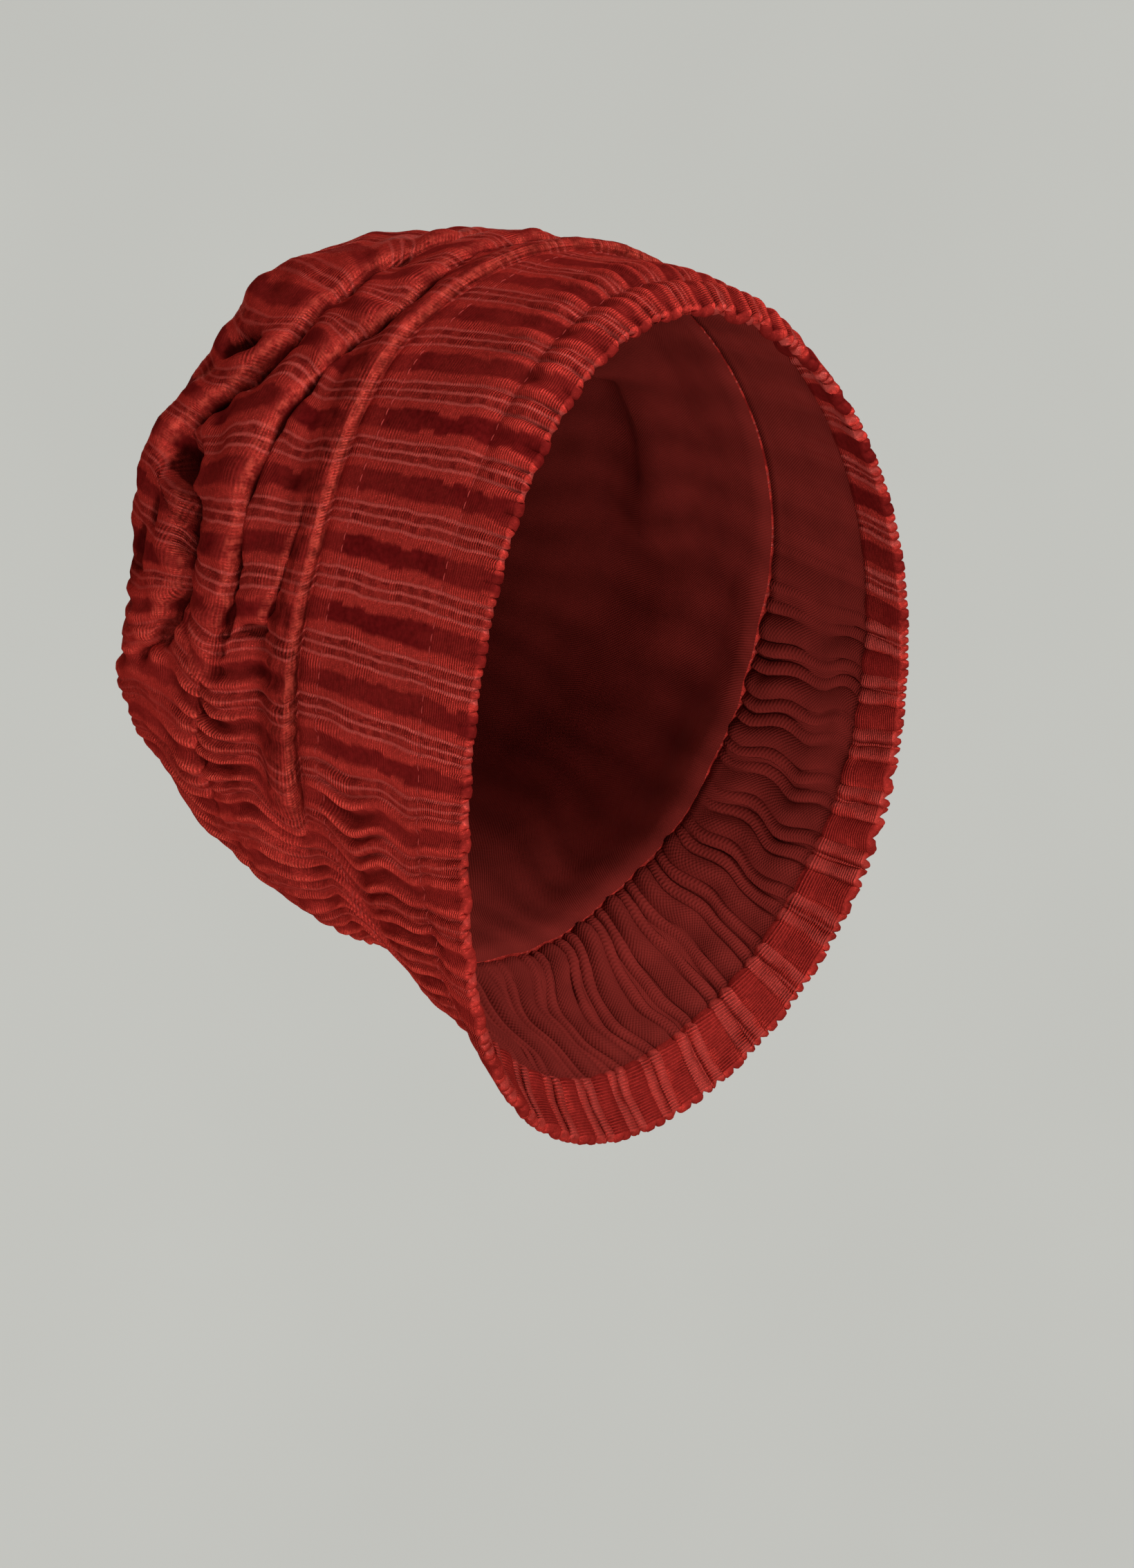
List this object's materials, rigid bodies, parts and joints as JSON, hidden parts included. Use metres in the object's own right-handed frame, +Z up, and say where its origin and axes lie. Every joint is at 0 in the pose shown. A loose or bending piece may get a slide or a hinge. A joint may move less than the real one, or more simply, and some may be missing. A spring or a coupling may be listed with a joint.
{
  "type": "slouchy beanie",
  "caption": "Slouchy stretch velvet beanie with striped plush pattern, a front band with a turned hem, and a loose crown that falls in soft rolls; covers the head from hairline to nape.",
  "frame": {"origin": "middle of the rim opening, where the head enters", "axes": "+Z up on the wearer's upright head, -Y the wearer's front, +X the wearer's left; the rim's plane leans back from the hairline to the nape"},
  "size_m": [0.1805, 0.1927, 0.2472],
  "materials": {
    "velvet": "matt pile with a soft sheen, dark plush bars between lighter lines"
  },
  "bodies": {
    "root": {"front_band": "velvet", "slouch_crown": "velvet"}
  },
  "joints": []
}
